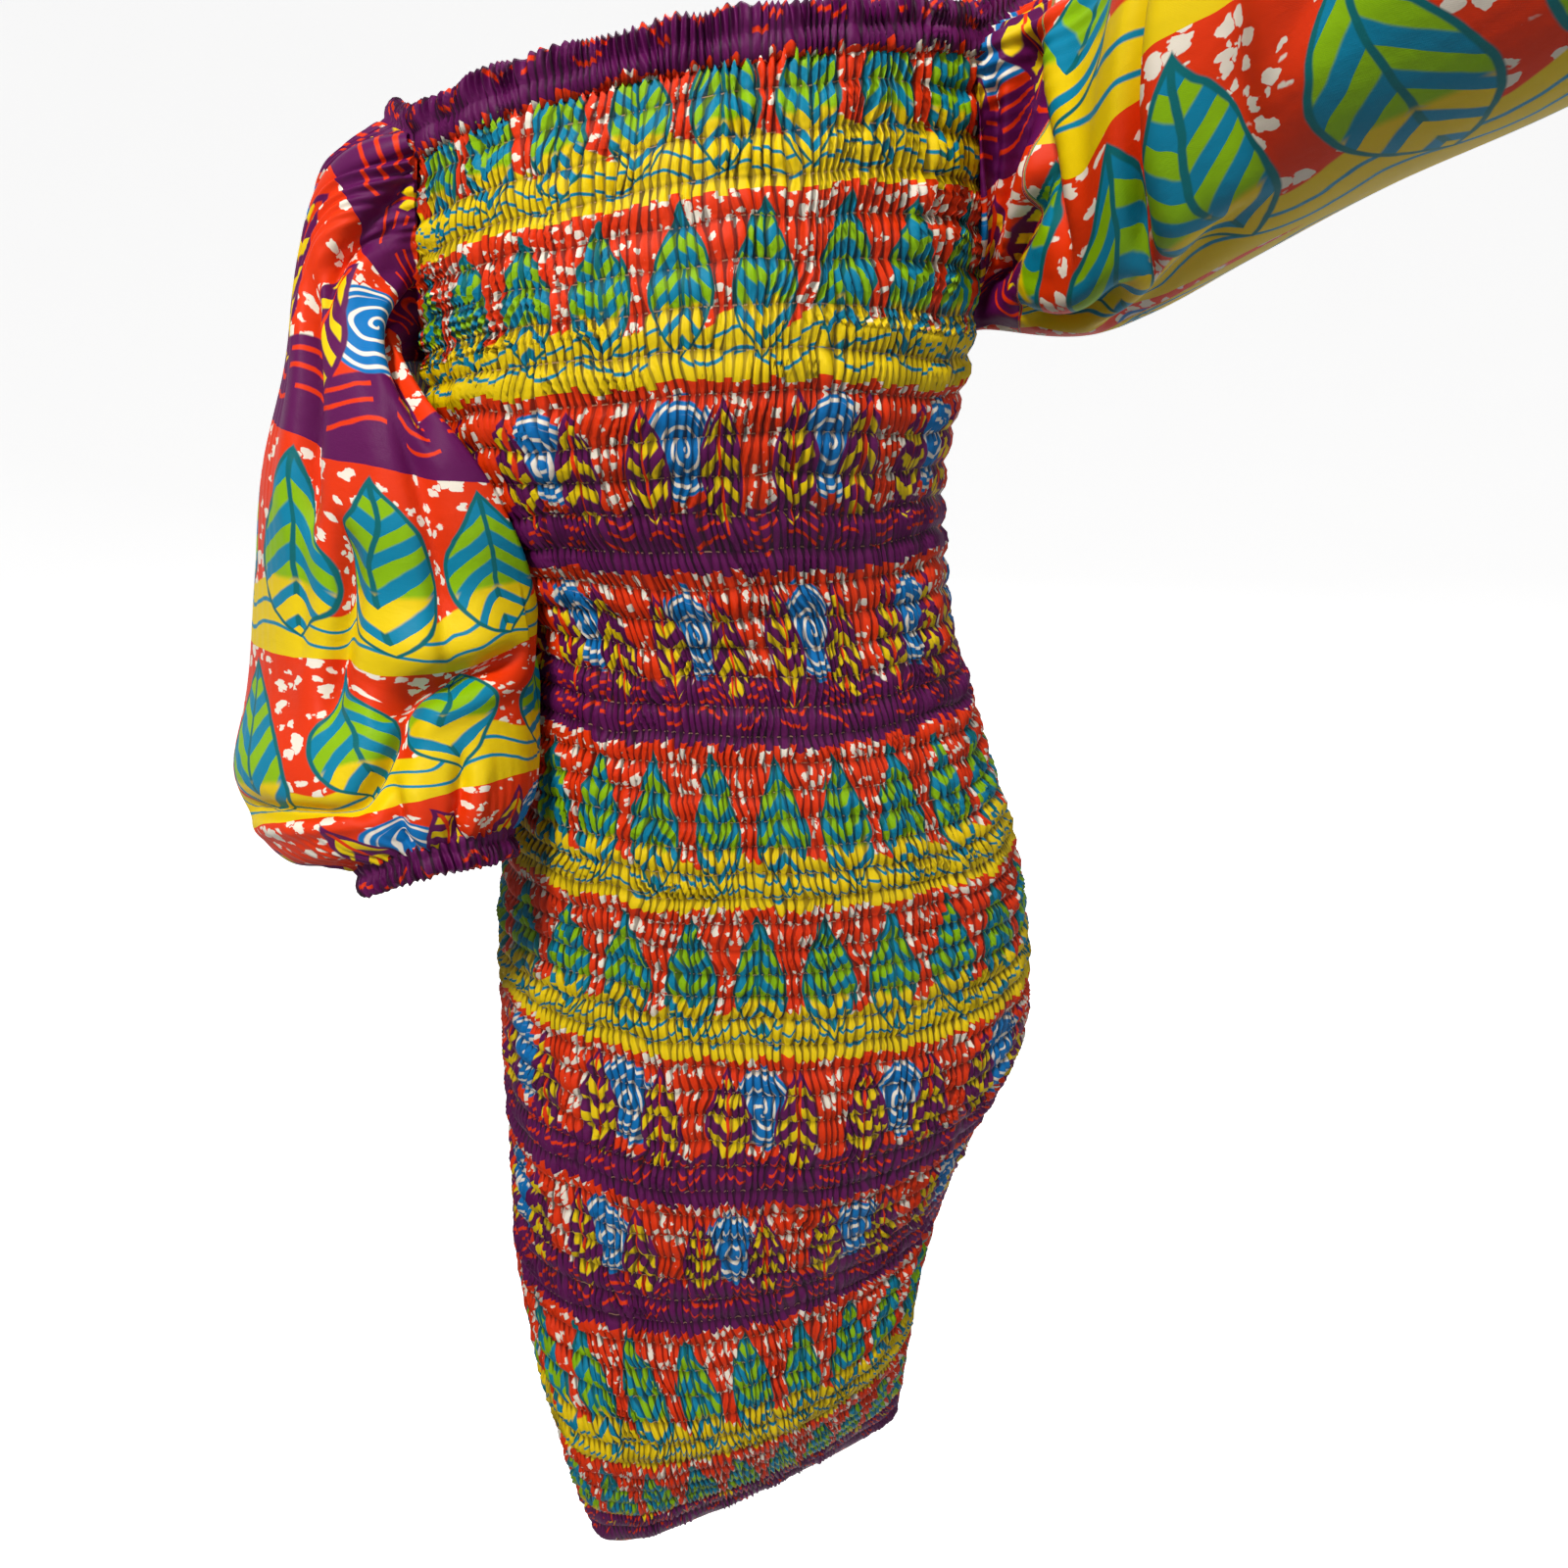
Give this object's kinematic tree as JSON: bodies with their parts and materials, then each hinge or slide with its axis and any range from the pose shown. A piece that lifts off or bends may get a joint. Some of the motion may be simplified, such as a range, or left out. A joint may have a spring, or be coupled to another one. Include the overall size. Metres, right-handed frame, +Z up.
{
  "type": "off-shoulder shirred midi dress",
  "caption": "Off-shoulder midi dress in wax print cotton, shirred all over, with full gathered sleeves, held in its worn shape, one arm raised.",
  "frame": {"origin": "middle of the body tube at underarm height, where the bust holds the dress up", "axes": "+Z up towards the neck edge, -Y towards the front of the dress, +X towards the wearer's left, which is the raised sleeve"},
  "size_m": [0.7313, 0.4637, 1.1538],
  "materials": {
    "front_panel": "wax print cotton with a soft sheen, shirred with elastic thread",
    "back_panel": "wax print cotton with a soft sheen, shirred with elastic thread",
    "right_sleeve": "wax print cotton with a soft sheen",
    "left_sleeve": "wax print cotton with a soft sheen",
    "neck_band": "wax print cotton casing, gathered on elastic",
    "right_cuff": "wax print cotton casing, gathered on elastic",
    "left_cuff": "wax print cotton casing, gathered on elastic"
  },
  "bodies": {
    "root": {"front_panel": "front_panel", "back_panel": "back_panel", "right_sleeve": "right_sleeve", "left_sleeve": "left_sleeve", "neck_band": "neck_band", "right_cuff": "right_cuff", "left_cuff": "left_cuff"}
  },
  "joints": []
}
